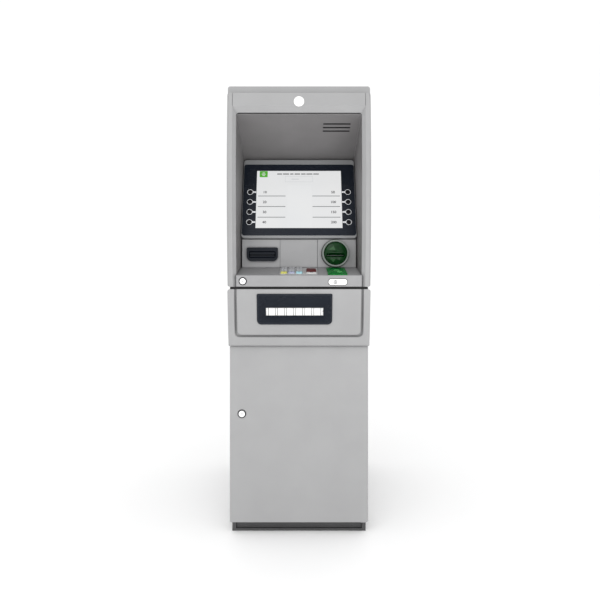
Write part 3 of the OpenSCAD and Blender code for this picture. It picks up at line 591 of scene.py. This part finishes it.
collar("cabinet_lock_collar", "cabinet_door", joint_place("cabinet_lock_turn"),
       bore=10.9, outer=14.4, proud=1.6)
collar("fascia_lock_collar", "fascia_unit", joint_place("fascia_lock_turn"),
       bore=9.9, outer=13.2, proud=1.4)
for name in ("cabinet_lock", "fascia_lock"):
    piece(f"{name}_keyway", prism(rounded(8.6, 1.6, 0.5), -0.95, 1.2), name, "ink",
          joint_place(f"{name}_turn"), edges=0)
jack = mounts["headphone_jack"]
jack_turn = facing(jack["axis"])
PLATE_PROUD = 2.2
jack_face = at(jack["pos_m"], jack_turn) @ shift(0, 0, PLATE_PROUD)
piece("jack_ring", lathe([(3.9, 0.02), (3.9, 0.3), (5.8, 0.3), (5.8, 0.02)]), "fascia_unit",
      "ink", jack_face, edges=0.05 * MM)
piece("jack_tube", lathe([(1.85, -7), (1.85, 0.5), (2.9, 0.5), (3.1, 0.2), (3.1, -7)]), "fascia_unit",
      "plated", jack_face)
PLATE_W, PLATE_H = 60.3, 20
# Dark rim round the audio plate: a painted shadow.
PLATE_SHADOW_RIM = 1.7
plate_shadow_outline = rounded(PLATE_W + 2 * PLATE_SHADOW_RIM, PLATE_H + 2 * PLATE_SHADOW_RIM, PLATE_H / 2 + 1.6)
piece("audio_plate_shadow_rim", prism(plate_shadow_outline, 0.05 - PLATE_PROUD, -1.5), "fascia_unit",
      "black_rubber_and_shadow", face_of("audio_plate", jack_turn))


# ---- card reader mouth: dark ring painted as its shadow, faceted lens with painted highlights ----

reader = face_of("card_reader_ring", upright)
panel_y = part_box("module_panels")[0].y
reader_back = at((reader.translation.x, panel_y, reader.translation.z), upright)
# Dark ring round the reader's ring on the panel: a painted shadow.
piece("reader_shadow_ring", lathe([(46.9, 0.05), (46.9, 1.2), (48.6, 1.0), (48.6, 0.05)]), "fascia_unit",
      "black_rubber_and_shadow", reader_back)

# The mouth's dome and the lens on it, in millimetres.
DOME_R = 100
DOME_LEAD = 1.0
LENS_R = 37.5


def on_dome(x, y, proud):
    """Point over the mouth's dome, in millimetres from the middle of the ring's face."""
    return Vector((x, y, DOME_LEAD - DOME_R + math.sqrt(DOME_R ** 2 - x * x - y * y) + proud))


def hull(points):
    """Closed convex solid round points in millimetres."""
    mesh = bmesh.new()
    for point in points:
        mesh.verts.new(point * MM)
    made = bmesh.ops.convex_hull(mesh, input=mesh.verts)
    spare = [item for item in made["geom_interior"] if isinstance(item, bmesh.types.BMVert)]
    bmesh.ops.delete(mesh, geom=spare, context="VERTS")
    return mesh


def lens(name, arc, chord, ridge):
    """Cut-glass facets between an arc, a chord beside the card mouth and a few ridge points."""
    points = [on_dome(LENS_R * math.cos(math.radians(a)), LENS_R * math.sin(math.radians(a)), 0.3)
              for a in arc]
    points += [on_dome(x, chord, 0.5) for x in range(-30, 31, 15)]
    points += [on_dome(*point) for point in ridge]
    piece(name, hull(points), "fascia_unit", "reader_green", reader,
          edges=0.3 * MM, crease=3)


def bright_facet(name, corners):
    """Lighter green chip on a facet, a little smaller than the facet: a painted highlight."""
    points = [on_dome(*corner) for corner in corners]
    outward = (points[1] - points[0]).cross(points[2] - points[0]).normalized()
    outward *= 1 if outward.z > 0 else -1
    middle = sum(points, Vector()) / len(points)
    inner = [middle + (point - middle) * 0.8 for point in points]
    solid = hull([point + outward * lift for point in inner for lift in (0.05, 0.3)])
    piece(name, solid, "fascia_unit", "facet_highlight_green", reader, edges=0)


UPPER_FACET = [(0, 10, 3.4), (-26, 12, 1.3), (-6, 28, 0.6)]
LOWER_FACET = [(2, -19, 1.6), (-20, -20, 1.2), (-8, -31, 0.8)]
lens("reader_lens_upper", range(14, 167, 19), 5.0, UPPER_FACET + [(21, 15, 1.6)])
lens("reader_lens_lower", range(208, 333, 18), -17.0, LOWER_FACET + [(16, -24, 1.2)])
# Lighter chips on two facets: painted highlights.
bright_facet("reader_highlight_upper", UPPER_FACET)
bright_facet("reader_highlight_lower", LOWER_FACET)


# ---- receipt slot and paper, speaker mesh, painted highlight on the guide pad ----

receipt = face_of("receipt_surround", upright)
lips = prism(rounded(87.5, 8.4, 2.5, 0, 3.4), -4.0, -1.6)
prism(rounded(87.5, 5.4, 2.5, 0, -6.3), -4.0, -1.6, into=lips)
piece("receipt_lips", lips, "fascia_unit", "dark_navy", receipt, edges=0.6 * MM)
piece("receipt_flap", prism(rounded(83, 5.3, 0.6), -11.2, -10.0), "fascia_unit", "mesh_black",
      receipt)

# White paper over the receipt printer's roll, in millimetres.
ROLL_R, ROLL_L, ROLL_BORE, ROLL_DEPTH = 27, 80, 6, 262
roll_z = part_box("receipt_printer")[1].z - ROLL_R * MM
roll_turn = Matrix.Rotation(math.radians(90), 4, "Y")
PAPER_SKIN = 0.4
paper_end = ROLL_L / 2 + PAPER_SKIN
paper = lathe([(ROLL_BORE + 0.2, -paper_end), (ROLL_R + PAPER_SKIN, -paper_end),
               (ROLL_R + PAPER_SKIN, paper_end), (ROLL_BORE + 0.2, paper_end)])
piece("receipt_paper", paper, "fascia_unit", "paper",
      at((receipt.translation.x, datum_y + ROLL_DEPTH * MM, roll_z), roll_turn), edges=0.3 * MM)

liner_mesh = frame["nodes"]["recess_liner"].data
liner_tree = BVHTree.FromPolygons([v.co for v in liner_mesh.vertices],
                                  [face.vertices for face in liner_mesh.polygons])
# The speaker's three slots in the recess ceiling, in millimetres.
SLOT_X = 126.3
SLOT_W, SLOT_D = 92, 7
SLOT_DEPTHS = (60.5, 78.5, 96)
MESH_GAP = 0.4


def ceiling_at(depth):
    """Height of the recess ceiling beside the speaker slots, at a depth in millimetres."""
    start = Vector((SLOT_X * MM - SLOT_W * MM, datum_y + depth * MM, screen.translation.z))
    return liner_tree.ray_cast(start, Vector((0, 0, 1)))[0].z


run = (SLOT_DEPTHS[-1] - SLOT_DEPTHS[0]) * MM
slope = Matrix.Identity(4)
slope[2][1] = (ceiling_at(SLOT_DEPTHS[-1]) - ceiling_at(SLOT_DEPTHS[0])) / run
speaker = bmesh.new()
for depth in SLOT_DEPTHS:
    middle = Vector((SLOT_X * MM, datum_y + depth * MM, ceiling_at(depth)))
    prism(rounded(SLOT_W - MESH_GAP, SLOT_D - MESH_GAP, 2.6), 0.5, 1.6,
          Matrix.Translation(middle) @ slope, speaker)
piece("speaker_mesh", speaker, "fascia_unit", "mesh_black", edges=0)

guide = face_of("guide_panel", shelf_turn)
# Pale green leaf and two chevrons on the guide pad: a painted highlight.
highlight_shapes = prism(rounded(18, 22, 8.9, 9, -17), 0.03, 0.5)
for y in (6, 18):
    prism([(-9, y - 4), (0, y + 2), (9, y - 4), (9, y - 1), (0, y + 5), (-9, y - 1)], 0.03, 0.5, into=highlight_shapes)
piece("guide_painted_highlight", highlight_shapes, "fascia_unit", "pale_green_highlight", guide, edges=0)


# ---- rear: screws, cable grommet and louvre filters ----

rearward = facing(TO_REAR)
rear_low, rear_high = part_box("rear_panel")
rear_z = rear_high.z - rear_low.z
SCREW_INSET = 12 * MM
SCREWS_UP = 6
heads = bmesh.new()
for sign in (-1, 1):
    for n in range(SCREWS_UP):
        z = rear_low.z + SCREW_INSET + n * (rear_z - 2 * SCREW_INSET) / (SCREWS_UP - 1)
        lathe([(1.3, -0.4), (1.3, 0.04), (3.4, 0.1), (4.0, 0.06), (4.2, -0.4)],
              at((sign * (rear_high.x - SCREW_INSET), rear_high.y, z), rearward), heads, steps=24)
piece("rear_screws", heads, "cabinet", "plated", edges=0)

cable = mounts["cable_entry"]
cable_r = cable["dims"]["r_mm"]
grommet = lathe([(cable_r + 0.1, 1.4), (cable_r + 0.1, 1.6), (cable_r + 3.2, 1.6), (cable_r + 3.4, 1.4)])
piece("cable_grommet", grommet, "cabinet", "black_rubber_and_shadow", at(cable["pos_m"], facing(cable["axis"])))

LOUVRE_FIELD = (168, 116)
LOUVRE_HEIGHTS = {"upper": 1318, "lower": 748}
PAD_GAP = 0.6 * MM
for name, z in LOUVRE_HEIGHTS.items():
    pad = prism(rounded(*LOUVRE_FIELD, 4), -1.6, 0, at((0, rear_low.y - PAD_GAP, z * MM), rearward))
    piece(f"louvre_filter_{name}", pad, "cabinet", "mesh_black", edges=0.4 * MM)


# ---- safe front: hinge knuckles and rings round the dial and the handle ----

safe_low, safe_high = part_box("safe_door")
KNUCKLE_R, KNUCKLE_L = 7, 46
knuckle = [(1, 0), (KNUCKLE_R - 1, 0), (KNUCKLE_R, 1)]
for third in (1, 2):
    z = third * KNUCKLE_L / 3
    knuckle += [(KNUCKLE_R, z - 0.6), (KNUCKLE_R - 0.7, z), (KNUCKLE_R, z + 0.6)]
knuckle += [(KNUCKLE_R, KNUCKLE_L - 1), (KNUCKLE_R - 1, KNUCKLE_L), (1, KNUCKLE_L)]
knuckles = bmesh.new()
for share in (0.15, 0.5, 0.85):
    z = safe_low.z + share * (safe_high.z - safe_low.z) - KNUCKLE_L * MM / 2
    lathe(knuckle, Matrix.Translation((safe_high.x + KNUCKLE_R * MM, safe_low.y - 4 * MM, z)), knuckles)
piece("safe_hinge_knuckles", knuckles, "cabinet", "steel", edges=0.2 * MM)


def safe_ring(name, joint, bore, outer, proud):
    """Steel ring on the safe door, round what a joint turns."""
    place = at(joints[joint]["pos_m"], upright)
    place.translation.y = safe_low.y
    profile = [(bore, 0.05), (bore, proud), (outer - 1, proud), (outer, proud - 0.8), (outer, 0.05)]
    piece(name, lathe(profile), "cabinet", "steel", place)


safe_ring("dial_ring", "combination_dial_turn", bore=31.5, outer=38, proud=3)
safe_ring("handle_rose", "safe_handle_turn", bore=9, outer=26, proud=1.8)


# ---- seal between the two fascias: a black strip round the front and the sides, partly a seal, partly painted shade in the gap ----

lower_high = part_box("lower_fascia")[1]
unit_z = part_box("upper_fascia")[0].z
SEAL_INSET, SEAL_WALL = 8 * MM, 4 * MM
SEAL_SINK, SEAL_GAP = 0.2, 0.6
seal_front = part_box("keypad_shelf")[0].y + SEAL_INSET
seal_x = lower_high.x - SEAL_INSET
seal_back = lower_high.y - 2 * MM
seal = bmesh.new()
outer = [(-seal_x, seal_back), (-seal_x, seal_front), (seal_x, seal_front), (seal_x, seal_back)]
inner = [(seal_x - SEAL_WALL, seal_back), (seal_x - SEAL_WALL, seal_front + SEAL_WALL),
         (-seal_x + SEAL_WALL, seal_front + SEAL_WALL), (-seal_x + SEAL_WALL, seal_back)]
prism([(x / MM, y / MM) for x, y in outer + inner],
      lower_high.z / MM - SEAL_SINK, unit_z / MM - SEAL_GAP, into=seal)
piece("fascia_seal_and_gap_shade", seal, "cabinet", "black_rubber_and_shadow", edges=1.2 * MM)


# ---- setting: floor, light, camera ----

def area_light(name, size, power, place, target):
    """Rectangular light that faces a target, in metres and watts."""
    data = bpy.data.lights.new(name, "AREA")
    data.shape = "RECTANGLE"
    data.size, data.size_y = size
    data.energy = power
    lamp = bpy.data.objects.new(name, data)
    lamp.location = place
    lamp.rotation_euler = (Vector(target) - Vector(place)).to_track_quat("-Z", "Y").to_euler()
    bpy.context.scene.collection.objects.link(lamp)


def backdrop():
    """Pale floor that curves up into a wall far behind the machine."""
    half, wall_y, rise, front = 14.0, 9.0, 9.0, -9.0
    bend, steps = 3.0, 12
    profile = [(front, 0.0), (wall_y - bend, 0.0)]
    for step in range(1, steps + 1):
        a = math.radians(90 * step / steps)
        profile.append((wall_y - bend + bend * math.sin(a), bend - bend * math.cos(a)))
    profile.append((wall_y, rise))
    mesh = bmesh.new()
    rows = [[mesh.verts.new((x, y, z)) for x in (-half, half)] for y, z in profile]
    for first, second in zip(rows, rows[1:]):
        mesh.faces.new((first[0], first[1], second[1], second[0]))
    data = bpy.data.meshes.new("floor")
    mesh.to_mesh(data)
    mesh.free()
    data.shade_smooth()
    data.materials.append(surface("floor", (0.95, 0.95, 0.95), 0.60, mottle=0.005, patch=0.4,
                                  depth=0.01 * MM))
    thing = bpy.data.objects.new("floor", data)
    bpy.context.scene.collection.objects.link(thing)


backdrop()
world = bpy.data.worlds.new("studio")
world.use_nodes = True
sky = world.node_tree.nodes["Background"]
sky.inputs["Color"].default_value = (1, 1, 1, 1)
sky.inputs["Strength"].default_value = 1.1
bpy.context.scene.world = world
area_light("key", size=(2.4, 1.6), power=17, place=(-1.2, -3.2, 3.0), target=(0, -0.3, 0.9))
area_light("fill", size=(2.2, 1.2), power=25, place=(0.4, -3.3, 0.7), target=(0, -0.3, 1.0))

# The camera stands straight in front of the user's side, at about waist height. Its distance,
# lens and shift give the photo's framing and perspective.
CAMERA_AWAY = 1.65
CAMERA_HEIGHT = 0.852
camera_data = bpy.data.cameras.new("camera")
camera_data.lens = 30.84
camera_data.sensor_width = 36
camera_data.shift_x = 0.0017
camera_data.shift_y = -0.0383
camera = bpy.data.objects.new("camera", camera_data)
camera.location = (0, datum_y - CAMERA_AWAY, CAMERA_HEIGHT)
camera.rotation_euler = (math.radians(90), 0, 0)
bpy.context.scene.collection.objects.link(camera)
bpy.context.scene.camera = camera
bpy.context.scene.view_settings.view_transform = "Standard"
